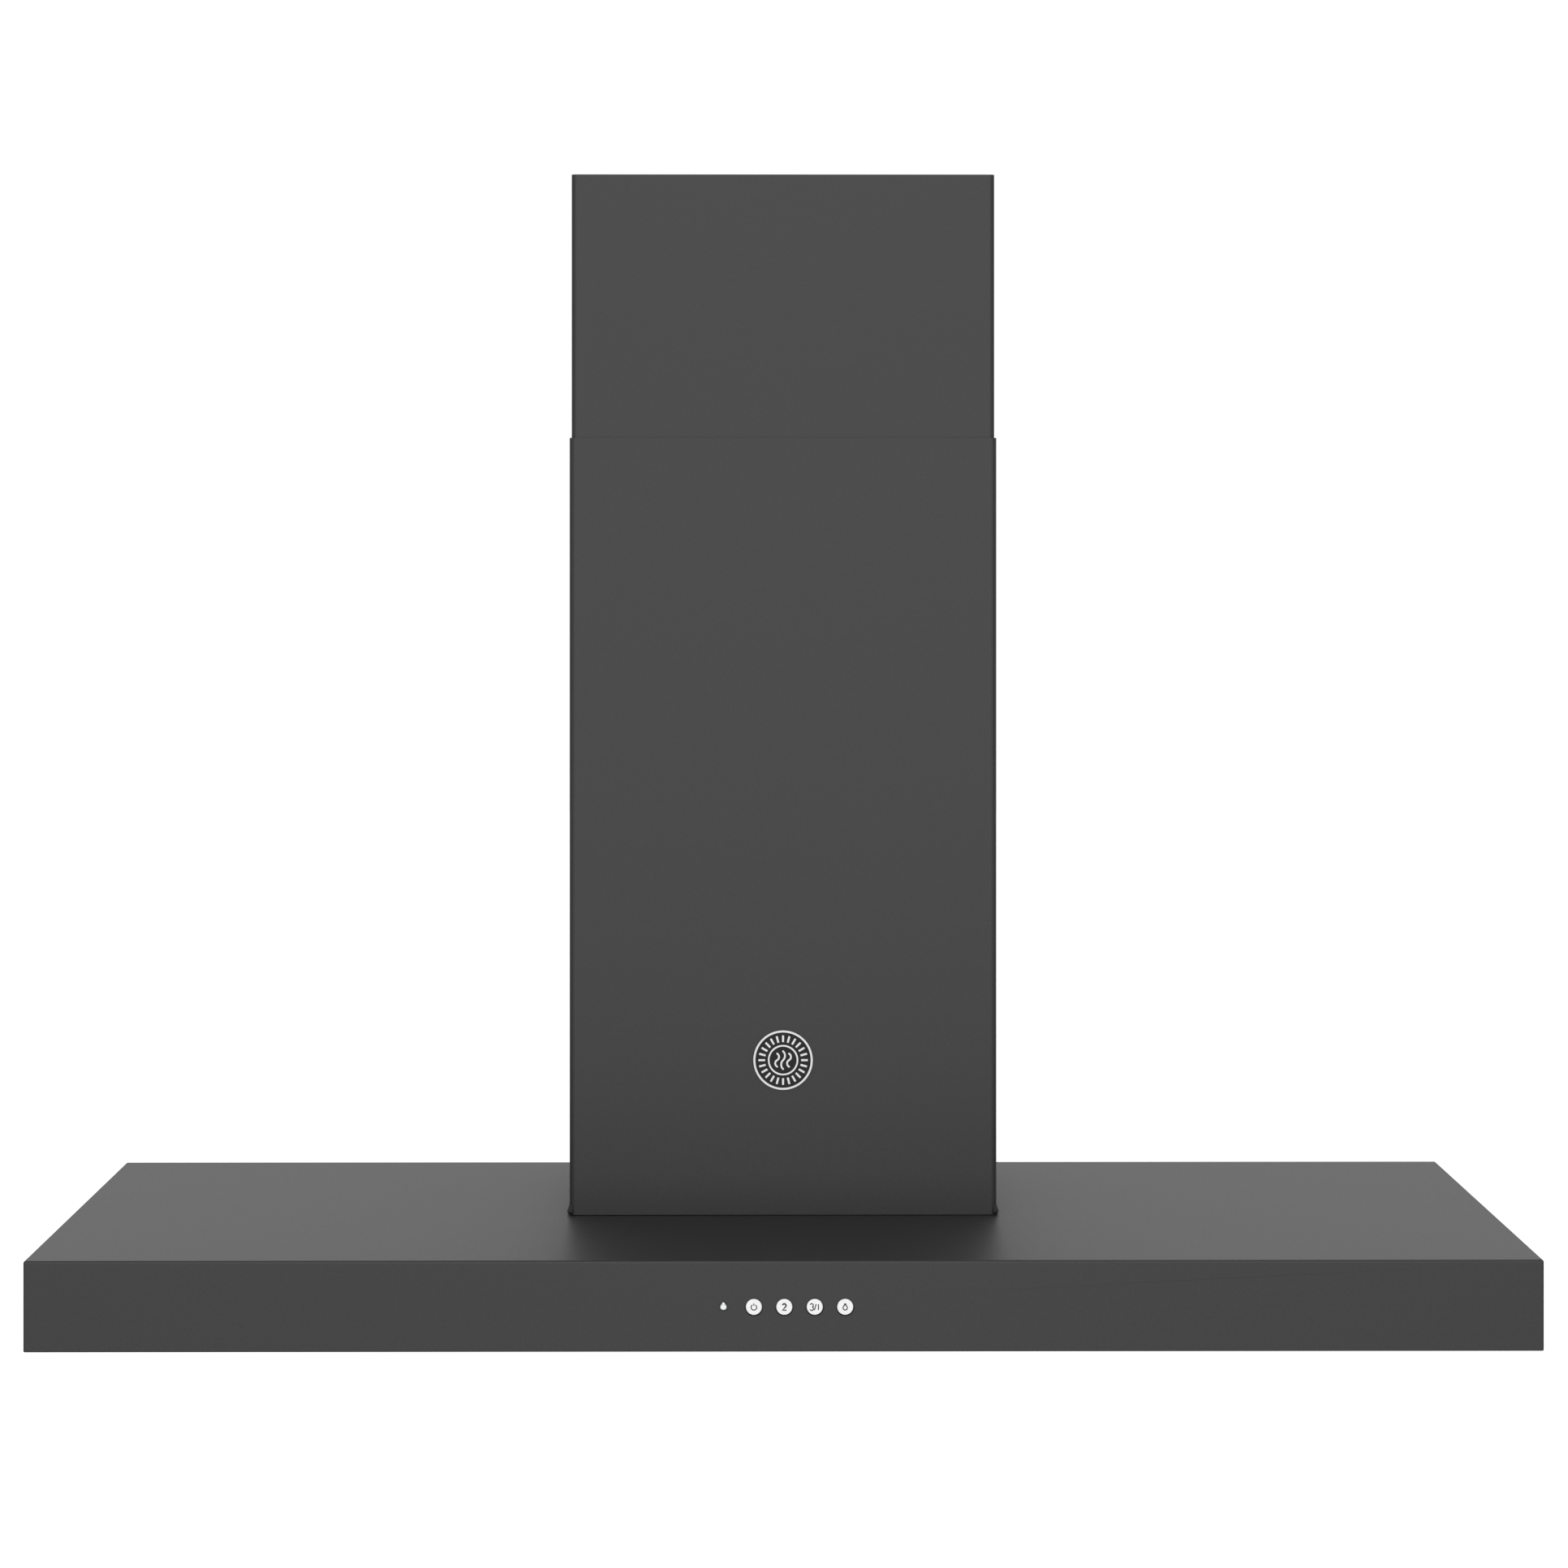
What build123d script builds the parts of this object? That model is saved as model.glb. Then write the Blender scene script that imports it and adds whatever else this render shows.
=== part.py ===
"""Wall-mounted T-shaped range hood, built as separate sheet-metal, plastic and electrical pieces.

Units are millimetres. The wall is the plane Y = 0 and the front faces -Y. X = 0 is the centre line
and Z = 0 is the lower edge of the canopy, so the origin is the foot of the wall face.
"""

from build123d import *
import os
from math import cos, pi, radians, sin

# --- Driving dimensions -----------------------------------------------------------------------
CANOPY_WIDTH = 1200.0
CANOPY_DEPTH = 500.0
CANOPY_HEIGHT = 72.0
CANOPY_SHEET = 1.0
CANOPY_FOLD_RADIUS = 2.0  # outside radius of the folded edges
RIM_WIDTH = 14.0  # lip turned in under the canopy

CHIMNEY_WIDTH = 360.0
CHIMNEY_DEPTH = 290.0
LOWER_CHIMNEY_TOP = 727.0
LOWER_SHEET = 1.0
UPPER_SHEET = 0.8
SLIDE_GAP = 0.7  # between the two chimney covers, each side
CHIMNEY_CORNER_RADIUS = 5.0
HOOD_HEIGHT = 949.0
UPPER_CHIMNEY_LENGTH = 520.0
CHIMNEY_RETURN = 15.0  # width of the folded rear edges

BADGE_RADIUS = 25.0
BADGE_Z = 203.0
BADGE_THICKNESS = 1.2
BADGE_RELIEF = 0.5  # height of the raised rims, bars and lines
BADGE_RIM = 1.7
BADGE_RING_RADIUS = 12.8  # outside of the inner ring
BADGE_RING_WIDTH = 1.4
BADGE_BAR_COUNT = 24
BADGE_BAR_LENGTH = 5.6
BADGE_BAR_WIDTH = 1.7
BADGE_BAR_RADIUS = 18.0  # from the badge's centre to the middle of a bar
BADGE_PIN_X = 15.0

CONTROL_Z = 35.6
CONTROL_PITCH = 24.0
BUTTON_RADIUS = 6.3
BUTTON_HOLE_RADIUS = 7.4
BUTTON_PROUD = 1.2
BUTTON_FLANGE_RADIUS = 8.6
INDICATOR_RADIUS = 2.5
INDICATOR_HOLE_RADIUS = 3.1

PANEL_Z = 9.0  # underside of the panel that carries the filters
PANEL_SHEET = 1.0
PANEL_GAP = 2.5  # between the panel's edge and the outside of the canopy
PANEL_SCREW_X = 574.0
PANEL_SCREW_YS = (-470.0, -250.0, -40.0)
FILTER_OPENING_WIDTH = 320.0
FILTER_OPENING_DEPTH = 300.0
FILTER_PITCH = 334.0
FILTER_REAR_Y = -92.0
FILTER_GAP = 1.5
FILTER_HEIGHT = 12.0
FILTER_SHEET = 0.8
LATCH_X = 28.0  # half width of the finger hole
SPRING_X = 34.0
TAB_X = 100.0  # rear tabs, from the filter's centre

LAMP_Y = -446.0
LAMP_XS = (-450.0, -150.0, 150.0, 450.0)
LAMP_FLANGE_RADIUS = 33.0
LAMP_SLEEVE_RADIUS = 28.6
LAMP_HOLE_RADIUS = 29.0
LENS_RADIUS = 26.0
LENS_FACE_RADIUS = 23.7

BOX_HALF_WIDTH = 168.0
BOX_FRONT_Y = -272.0
BOX_REAR_Y = -3.0
BOX_TOP_Z = 402.0
BOX_SHEET = 1.0

COLLAR_Y = -180.0
COLLAR_RADIUS = 75.0
COLLAR_WALL = 1.2
COLLAR_HEIGHT = 50.0
COLLAR_FLANGE = 1.2
COLLAR_SCREW_RADIUS = 84.0  # radius of the circle that the screws stand on
SEAT_Z = 412.0  # just under the ledge that the damper rests on
SPINDLE_Z = 418.5
SPINDLE_RADIUS = 1.5

WHEEL_Y = -118.0
WHEEL_Z = 200.0
WHEEL_RADIUS = 84.0
WHEEL_INNER_RADIUS = 70.0
WHEEL_HALF_WIDTH = 62.0
BLADE_COUNT = 36
SCROLL_HALF_WIDTH = 67.0
SCROLL_WALL = 2.0
SCROLL_START_RADIUS = 98.0
SCROLL_GROWTH = 12.0  # gain in radius for each quarter turn
INLET_RADIUS = 68.0
SHAFT_RADIUS = 4.0

MAINS_BOX_X0 = 40.0
MAINS_BOX_X1 = 130.0
MAINS_BOX_Y0 = -95.0
MAINS_BOX_Y1 = -18.0
MAINS_BOX_HEIGHT = 40.0
GLAND_X = 80.0
GLAND_Y = -57.0
GLAND_BORE = 4.5
WIRE_HOLE_RADIUS = 4.0
WIRE_HOLE_X = 120.0
WIRE_HOLE_Y = -60.0

HOOK_X = 120.0
HOOK_Z = 375.0
HOOK_SLOT_Z = 340.0
HOOK_SLOT_HEIGHT = 12.0
WALL_HOLE_RADIUS = 3.2
SCREW_RADIUS = 1.9
SCREW_CLEARANCE_RADIUS = 2.2
SAFETY_HOLE_X = 250.0
SAFETY_HOLE_Z = 40.0
BRACKET_Z = 934.0
BRACKET_HOLE_X = 100.0
BRACKET_SCREW_Y = -22.0
COVER_SCREW_Y = -40.0
COVER_SCREW_Z = 111.0

# --- Values that follow from them --------------------------------------------------------------
HALF_WIDTH = CANOPY_WIDTH / 2
FRONT_Y = -CANOPY_DEPTH
BLOWER_OPENING = (-150.0, 150.0, -262.0, -28.0)  # hole in the top of the canopy, under the blower box
PANEL_TOP = PANEL_Z + PANEL_SHEET
FILTER_XS = (-FILTER_PITCH, 0.0, FILTER_PITCH)
FILTER_FRONT_Y = FILTER_REAR_Y - FILTER_OPENING_DEPTH
FILTER_HALF = FILTER_OPENING_WIDTH / 2 - FILTER_GAP
FILTER_Y0 = FILTER_FRONT_Y + FILTER_GAP
FILTER_Y1 = FILTER_REAR_Y - 2.0
FILTER_TOP = PANEL_Z + FILTER_HEIGHT
COLLAR_INNER = COLLAR_RADIUS - COLLAR_WALL
BUTTON_XS = tuple(CONTROL_PITCH * k for k in (-1, 0, 1, 2))
INDICATOR_X = -2 * CONTROL_PITCH
LATCH_Y0 = FILTER_Y0 + 6.0  # front and rear edges of the finger hole
LATCH_Y1 = FILTER_Y0 + 30.0
BAR_Y = FILTER_Y0 + 36.0  # rear edge of the filter's front bar
MAINS_BOX_TOP = BOX_TOP_Z + MAINS_BOX_HEIGHT
UPPER_HALF = CHIMNEY_WIDTH / 2 - LOWER_SHEET - SLIDE_GAP


# --- Helpers -----------------------------------------------------------------------------------
def block(x0, x1, y0, y1, z0, z1):
    """A box between two corners."""
    size = Box(x1 - x0, y1 - y0, z1 - z0)
    return Pos((x0 + x1) / 2, (y0 + y1) / 2, (z0 + z1) / 2) * size


def rod_x(radius, x0, x1, y, z):
    """A round bar along X."""
    return Pos((x0 + x1) / 2, y, z) * Rot(0, 90, 0) * Cylinder(radius, x1 - x0)


def rod_y(radius, y0, y1, x, z):
    """A round bar along Y."""
    return Pos(x, (y0 + y1) / 2, z) * Rot(90, 0, 0) * Cylinder(radius, y1 - y0)


def rod_z(radius, z0, z1, x, y):
    """A round bar along Z."""
    return Pos(x, y, (z0 + z1) / 2) * Cylinder(radius, z1 - z0)


def mirrored(shape):
    """The shape and its mirror image across the centre line."""
    return [shape, shape.mirror(Plane.YZ)]


def plan(x0, x1, y0, y1, radius, z0, z1):
    """An upright prism with a rectangular plan whose two front corners are rounded."""
    prism = block(x0, x1, y0, y1, z0, z1)
    front = prism.edges().filter_by(Axis.Z).sort_by(Axis.Y)[:2]
    return fillet(front, radius)


def pan_screw(radius, length, head_radius, head_height):
    """A cross-recess screw whose head stands on Z = 0 and whose shank hangs below it."""
    head = Pos(0, 0, head_height / 2) * Cylinder(head_radius, head_height)
    head = fillet(head.edges().sort_by(Axis.Z)[-1], head_height * 0.6)
    shank = Pos(0, 0, -length / 2) * Cylinder(radius, length)
    slot = Box(head_radius * 1.1, head_radius * 0.26, head_height)
    recess = Pos(0, 0, head_height) * (slot + Rot(0, 0, 90) * slot)
    return head + shank - recess


def cable(points, radii, radius):
    """A round cable along straight runs joined by tangent arcs."""
    path = FilletPolyline(*points, radius=radii)
    start = Plane(origin=path @ 0, z_dir=path % 0)
    swept = sweep(start * Circle(radius), path=path)
    section = pi * radius**2 * path.length
    print("cable length", round(path.length, 1), "radii", radii)
    print("volume over section times length", round(swept.volume / section, 4))
    return swept


def write(name, *solids):
    """Writes one node's STEP file."""
    shape = solids[0] if len(solids) == 1 else Compound(children=list(solids))
    export_step(shape, f"parts/{name}.step")


# --- Canopy ------------------------------------------------------------------------------------
def canopy_shell():
    """Top, front, sides and rear folded from one sheet, with a lip turned in all round underneath."""
    t = CANOPY_SHEET
    outer = block(-HALF_WIDTH, HALF_WIDTH, FRONT_Y, 0, 0, CANOPY_HEIGHT)
    upright = outer.edges().filter_by(Axis.Z)
    around_top = outer.faces().sort_by(Axis.Z)[-1].edges()
    outer = fillet(list(upright) + list(around_top), CANOPY_FOLD_RADIUS)
    outer = fillet(outer.faces().sort_by(Axis.Z)[0].edges(), t * 0.8)
    inner = block(-HALF_WIDTH + t, HALF_WIDTH - t, FRONT_Y + t, -t, t, CANOPY_HEIGHT - t)
    inner = fillet(inner.edges(), CANOPY_FOLD_RADIUS - t)
    rim_x = HALF_WIDTH - RIM_WIDTH
    mouth = block(-rim_x, rim_x, FRONT_Y + RIM_WIDTH, -RIM_WIDTH, -1, t + 1)
    x0, x1, y0, y1 = BLOWER_OPENING
    shell = outer - inner - mouth - block(x0, x1, y0, y1, CANOPY_HEIGHT - 5, CANOPY_HEIGHT + 1)
    for x in BUTTON_XS:
        shell -= rod_y(BUTTON_HOLE_RADIUS, FRONT_Y - 1, FRONT_Y + 3, x, CONTROL_Z)
    shell -= rod_y(INDICATOR_HOLE_RADIUS, FRONT_Y - 1, FRONT_Y + 3, INDICATOR_X, CONTROL_Z)
    for x in (-SAFETY_HOLE_X, SAFETY_HOLE_X):
        shell -= rod_y(WALL_HOLE_RADIUS, -3, 1, x, SAFETY_HOLE_Z)
    for x, y in flange_screw_places():
        shell -= rod_z(SCREW_RADIUS, CANOPY_HEIGHT - 3, CANOPY_HEIGHT + 1, x, y)
    return shell


def underside_panel():
    """Recessed tray that closes the canopy, with three filter openings and four lamp holes."""
    t = PANEL_SHEET
    x, y0, y1 = HALF_WIDTH - PANEL_GAP, FRONT_Y + PANEL_GAP, -PANEL_GAP
    rim = block(-x, x, y0, y1, CANOPY_SHEET, PANEL_TOP)
    panel = rim - block(-x + t, x - t, y0 + t, y1 - t, 0, PANEL_Z)
    for cx in FILTER_XS:
        half = FILTER_OPENING_WIDTH / 2
        curb = block(cx - half - t, cx + half + t, FILTER_FRONT_Y - t, FILTER_REAR_Y, PANEL_Z, FILTER_TOP)
        panel += curb
    for cx in FILTER_XS:
        half = FILTER_OPENING_WIDTH / 2
        panel -= block(cx - half, cx + half, FILTER_FRONT_Y, FILTER_REAR_Y, PANEL_Z - 1, FILTER_TOP + 1)
        panel -= block(cx - 20, cx + 20, FILTER_FRONT_Y - 3, FILTER_FRONT_Y + 1, 12.5, 17.5)
    for lx in LAMP_XS:
        panel -= rod_z(LAMP_HOLE_RADIUS, 0, 20, lx, LAMP_Y)
    for sx, sy in panel_screw_places():
        panel -= rod_z(SCREW_CLEARANCE_RADIUS, 0, 20, sx, sy)
    return panel


def panel_screw_places():
    """Where screws hold the underside panel to the two stiffeners."""
    return [(side * PANEL_SCREW_X, sy) for side in (-1, 1) for sy in PANEL_SCREW_YS]


def side_stiffener():
    """Right-hand angle between the canopy's side and the underside panel."""
    t, foot_width, drop = 1.2, 34.0, 8.0
    x1 = HALF_WIDTH - 4
    y0, y1 = FRONT_Y + 10, -12.0
    angle = block(x1 - foot_width, x1, y0, y1, PANEL_TOP, PANEL_TOP + t)
    angle += block(x1 - t, x1, y0, y1, PANEL_TOP, CANOPY_HEIGHT - drop)
    for sy in PANEL_SCREW_YS:
        angle -= rod_z(SCREW_RADIUS, 0, 20, PANEL_SCREW_X, sy)
    return angle


# --- Lamps -------------------------------------------------------------------------------------
def lamp_bezel(x):
    """Ring under the panel with a sleeve that goes up through its hole."""
    lip_radius, sleeve_top = LENS_FACE_RADIUS + 0.3, 24.0
    flange = rod_z(LAMP_FLANGE_RADIUS, PANEL_Z - 1.6, PANEL_Z, x, LAMP_Y)
    flange = chamfer(flange.edges().sort_by(Axis.Z)[0], 0.9)
    ring = flange + rod_z(LAMP_SLEEVE_RADIUS, PANEL_Z, sleeve_top, x, LAMP_Y)
    ring -= rod_z(lip_radius, 0, 12, x, LAMP_Y)
    ring -= rod_z(LENS_RADIUS + 0.2, PANEL_Z + 0.2, 30, x, LAMP_Y)
    return ring - block(x - 2.2, x + 2.2, LAMP_Y + 25, LAMP_Y + 30, 12.4, 30)


def lamp_lens(x):
    """Frosted cover that lies on the bezel's lip."""
    seat = PANEL_Z + 0.3
    lens = rod_z(LENS_RADIUS, seat, seat + 2.5, x, LAMP_Y)
    dome = rod_z(LENS_FACE_RADIUS, seat - 1, seat, x, LAMP_Y)
    return lens + fillet(dome.edges().sort_by(Axis.Z)[0], 0.6)


def lamp_housing(x):
    """Finned heat sink behind the lens."""
    base, shoulder, top = 12.0, 19.0, 36.0
    fin_pitch, fin_gap = 6.0, 2.0
    body = rod_z(LENS_RADIUS, base, shoulder, x, LAMP_Y) + rod_z(22.5, shoulder, top, x, LAMP_Y)
    for k in range(7):
        y = LAMP_Y + (k - 3) * fin_pitch
        body -= block(x - 30, x + 30, y - fin_gap / 2, y + fin_gap / 2, shoulder + 2.5, top + 4)
    return body


def led_driver():
    """Power supply for the lamps, on the panel behind the right-hand filter."""
    x0, x1 = 300.0, 450.0
    case = block(x0, x1, -72, -22, PANEL_TOP, PANEL_TOP + 28)
    case = fillet(case.edges().filter_by(Axis.Z), 3)
    foot = block(x0 - 10, x0, -60, -34, PANEL_TOP, PANEL_TOP + 3)
    plug = block(x1, x1 + 8, -53, -37, PANEL_TOP + 4, PANEL_TOP + 16)
    return case + foot + plug


# --- Controls ----------------------------------------------------------------------------------
def control_bracket():
    """Plastic carrier that guides the buttons behind the front of the canopy."""
    x0, x1, z0, z1 = -66.0, 66.0, CONTROL_Z - 20, CONTROL_Z + 20
    y0, y1 = FRONT_Y + 1.2, FRONT_Y + 20
    carrier = block(x0, x1, y0, y1, z0, z1) - block(x0 + 2, x1 - 2, y0 + 2, y1 + 1, z0 + 2, z1 - 2)
    carrier += block(x0 - 14, x1 + 14, y0, y0 + 2, z0 + 8, z1 - 8)
    for x in BUTTON_XS:
        carrier -= rod_y(BUTTON_HOLE_RADIUS, y0 - 1, y0 + 3, x, CONTROL_Z)
    carrier -= rod_y(INDICATOR_HOLE_RADIUS, y0 - 1, y0 + 3, INDICATOR_X, CONTROL_Z)
    for x in (x0 - 8, x1 + 8):
        carrier -= rod_y(2, y0 - 1, y0 + 3, x, CONTROL_Z)
    return carrier


def control_board():
    """Circuit board with a push switch behind each button and a connector."""
    y = FRONT_Y + 16.5
    z0 = CONTROL_Z - 17
    parts = [block(-63, 63, y, y + 1.6, z0, CONTROL_Z + 17)]
    for x in BUTTON_XS:
        switch = block(x - 3, x + 3, y - 3.5, y, CONTROL_Z - 3, CONTROL_Z + 3)
        parts.append(switch + rod_y(1.75, y - 4.5, y - 3.5, x, CONTROL_Z))
    parts.append(block(34, 46, y + 1.6, y + 8, CONTROL_Z - 4, CONTROL_Z + 4))
    return parts


def indicator_bezel():
    """Thin holder that clips the indicator into the front of the canopy."""
    ring_radius, wall, length = 3.6, 0.4, 8.0
    bore = INDICATOR_RADIUS + 0.1
    ring = rod_y(ring_radius, FRONT_Y - 0.5, FRONT_Y, INDICATOR_X, CONTROL_Z)
    ring = fillet(ring.edges().sort_by(Axis.Y)[0], 0.4)
    sleeve = rod_y(bore + wall, FRONT_Y, FRONT_Y + length, INDICATOR_X, CONTROL_Z)
    return ring + sleeve - rod_y(bore, FRONT_Y - 1, FRONT_Y + length + 1, INDICATOR_X, CONTROL_Z)


def indicator_led():
    """Domed light-emitting diode."""
    dome_y, board_y = FRONT_Y - 0.2, FRONT_Y + 16.4
    body = rod_y(INDICATOR_RADIUS, dome_y, board_y, INDICATOR_X, CONTROL_Z)
    return body + Pos(INDICATOR_X, dome_y, CONTROL_Z) * Sphere(INDICATOR_RADIUS)


def button(x):
    """Round cap with a flange that stops it behind the front, and a stem towards its switch."""
    back, flange, stem_end = FRONT_Y + 3.4, 1.5, FRONT_Y + 10.4
    cap = rod_y(BUTTON_RADIUS, FRONT_Y - BUTTON_PROUD, back, x, CONTROL_Z)
    cap = fillet(cap.edges().sort_by(Axis.Y)[0], 0.6)
    stop = rod_y(BUTTON_FLANGE_RADIUS, back, back + flange, x, CONTROL_Z)
    return cap + stop + rod_y(2.5, back + flange, stem_end, x, CONTROL_Z)


# --- Filters -----------------------------------------------------------------------------------
def filter_frame(cx):
    """Channel frame of a baffle filter, with a front bar, a finger hole and two tabs on its rear edge."""
    t = FILTER_SHEET
    z0, z1 = PANEL_Z, FILTER_TOP
    x0, x1 = cx - FILTER_HALF, cx + FILTER_HALF
    ledge = 14.0  # width of the channel's lower face
    frame = block(x0, x1, FILTER_Y0, FILTER_Y1, z0, z1)
    frame -= block(x0 + t, x1 - t, FILTER_Y0 + t, FILTER_Y1 - t, z0 + t, z1 - t)
    frame -= block(x0 + ledge, x1 - ledge, BAR_Y, FILTER_Y1 - ledge, z0 - 1, z1 + 1)
    frame -= block(cx - LATCH_X, cx + LATCH_X, LATCH_Y0, LATCH_Y1, z0 - 1, z0 + t + 1)
    frame -= block(cx - 12.5, cx + 12.5, FILTER_Y0 - 1, FILTER_Y0 + 2, 12.7, 17.3)
    for side in (-1, 1):
        tab = cx + side * TAB_X
        tab_z = PANEL_TOP + 0.3
        frame += block(tab - 14, tab + 14, FILTER_Y1 - t, FILTER_REAR_Y + 8, tab_z, tab_z + 1.1)
        stop = cx + side * SPRING_X
        frame += block(stop - 4, stop + 4, LATCH_Y1 - 1.2, LATCH_Y1, z0 + t, z0 + 7.6)
    return frame


def filter_baffles(cx):
    """Two staggered layers of channels that air has to turn between, tied by two cross bars."""
    t, width, height, pitch = 0.7, 22.0, 4.2, 32.0
    y0, y1 = BAR_Y + 1, FILTER_Y1 - 1.2
    low, high = PANEL_Z + FILTER_SHEET + 0.1, FILTER_TOP - FILTER_SHEET - 0.1
    pieces = []
    half, hollow = width / 2, width / 2 - t
    for k in range(9):
        x = cx + (k - 4) * pitch
        channel = block(x - half, x + half, y0, y1, low, low + height)
        channel -= block(x - hollow, x + hollow, y0 - 1, y1 + 1, low + t, low + height + 1)
        pieces.append(channel)
    for k in range(8):
        x = cx + (k - 3.5) * pitch
        channel = block(x - half, x + half, y0, y1, high - height, high)
        channel -= block(x - hollow, x + hollow, y0 - 1, y1 + 1, high - height - 1, high - t)
        pieces.append(channel)
    for y in (y0 + 60, y1 - 60):
        pieces.append(block(cx - 139, cx + 139, y - 4, y + 4, low + height - 0.4, high - height + 0.4))
    return pieces[0].fuse(*pieces[1:])


def latch_slider(cx):
    """Sprung plate with a finger lip, a tongue towards the front curb's slot and an ear for each spring."""
    plate = block(cx - 40, cx + 40, LATCH_Y0 - 2, LATCH_Y1 - 1, 17.6, 19.0)
    lip = block(cx - LATCH_X + 2, cx + LATCH_X - 2, LATCH_Y1 - 9, LATCH_Y1 - 7.5, PANEL_Z + 1.2, 17.7)
    tongue = block(cx - 11, cx + 11, FILTER_FRONT_Y + 0.4, LATCH_Y0 + 1, 13.2, 16.8)
    neck = block(cx - 11, cx + 11, LATCH_Y0 - 1.5, LATCH_Y0 + 1, 13.2, 17.7)
    slider = plate + lip + tongue + neck
    for x in (cx - SPRING_X, cx + SPRING_X):
        slider += block(x - 4, x + 4, LATCH_Y0 - 2, LATCH_Y0 - 0.6, 11.4, 17.7)
    return slider


def latch_spring(cx):
    """Pair of compression springs between the frame's stops and the slider's ears."""
    coil_radius, wire, turns = 1.9, 0.4, 9
    y0, y1 = LATCH_Y0 - 0.5 + wire, LATCH_Y1 - 1.3 - wire
    path = Helix(pitch=(y1 - y0) / turns, height=y1 - y0, radius=coil_radius)
    start = Plane(origin=path @ 0, z_dir=path % 0)
    coil = sweep(start * Circle(wire), path=path)
    return [Pos(x, y0, 13.6) * Rot(-90, 0, 0) * coil for x in (cx - SPRING_X, cx + SPRING_X)]


# --- Blower ------------------------------------------------------------------------------------
def blower_box():
    """Sheet-metal box inside the chimney, open below, with side lugs for the lower chimney cover."""
    t = BOX_SHEET
    x, y0, y1, z0, z1 = BOX_HALF_WIDTH, BOX_FRONT_Y, BOX_REAR_Y, CANOPY_HEIGHT, BOX_TOP_Z
    box = block(-x, x, y0, y1, z0, z1) - block(-x + t, x - t, y0 + t, y1 - t, z0 - 1, z1 - t)
    flange = block(-x - 9, x + 9, y0 - 9, y1, z0, z0 + t)
    box += flange - block(-x + 1, x - 1, y0 + 1, y1 - 1, z0 - 1, z0 + 2)
    box -= rod_z(COLLAR_INNER, z1 - 3, z1 + 1, 0, COLLAR_Y)
    box -= rod_z(WIRE_HOLE_RADIUS, z1 - 3, z1 + 1, WIRE_HOLE_X, WIRE_HOLE_Y)
    for lug in mirrored(side_lug()):
        box += lug
    for sx in (-HOOK_X, HOOK_X):
        box -= block(sx - 20, sx + 20, y1 - 2, y1 + 1, HOOK_SLOT_Z, HOOK_SLOT_Z + HOOK_SLOT_HEIGHT)
        box -= rod_y(8, y1 - 2, y1 + 1, sx, HOOK_Z)
    for sx, sy in collar_screw_places():
        box -= rod_z(SCREW_RADIUS, z1 - 3, z1 + 1, sx, sy)
    for sx, sy in flange_screw_places():
        box -= rod_z(SCREW_CLEARANCE_RADIUS, z0 - 1, z0 + 2, sx, sy)
    return box


def side_lug():
    """Lug on the right of the blower box that takes the lower cover's screw."""
    x = BOX_HALF_WIDTH
    arm = block(x - 0.5, x + 10.6, -52, -28, 98, 99.5)
    plate = block(x + 9.1, x + 10.6, -52, -28, 98, 122)
    return arm + plate - rod_x(SCREW_RADIUS, x + 5, x + 15, COVER_SCREW_Y, COVER_SCREW_Z)


def collar_screw_places():
    """Four screws round the duct collar's flange."""
    reach = COLLAR_SCREW_RADIUS * cos(radians(45))
    return [(sx * reach, COLLAR_Y + sy * reach) for sx in (-1, 1) for sy in (-1, 1)]


def flange_screw_places():
    """Screws that hold the blower box down on the canopy, along its sides and front."""
    sides = [(sx * (BOX_HALF_WIDTH + 4.6), sy) for sx in (-1, 1) for sy in (-240.0, -130.0)]
    return sides + [(sx, BOX_FRONT_Y - 4.6) for sx in (-100.0, 0.0, 100.0)]


def scroll_outline(extra):
    """Volute in the YZ plane: three quarter arcs that grow in radius, then a straight outlet upwards."""
    half = SCROLL_GROWTH / 2
    r1 = SCROLL_START_RADIUS + extra
    r2, r3 = r1 + SCROLL_GROWTH, r1 + 2 * SCROLL_GROWTH
    top = BOX_TOP_Z - BOX_SHEET - WHEEL_Z
    first = Vector(half + r1 * cos(radians(120)), -half + r1 * sin(radians(120)))
    over = CenterArc((half, -half), r1, 120, -120)
    behind = CenterArc((-half, -half), r2, 0, -90)
    below = CenterArc((-half, half), r3, -90, -90)
    front_u = -half - r3
    inner_u = first.X + extra
    tongue = (inner_u, first.Y + 12)
    sides = Polyline((front_u, half), (front_u, top), (inner_u, top), tongue, (first.X, first.Y))
    return make_face([*over.edges(), *behind.edges(), *below.edges(), *sides.edges()])


def scroll_prism(extra, x0, x1):
    """The volute's outline as a solid between two X positions."""
    face_plane = Plane(origin=(x0, WHEEL_Y, WHEEL_Z), x_dir=(0, 1, 0), z_dir=(1, 0, 0))
    return extrude(face_plane * scroll_outline(extra), amount=x1 - x0)


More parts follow.
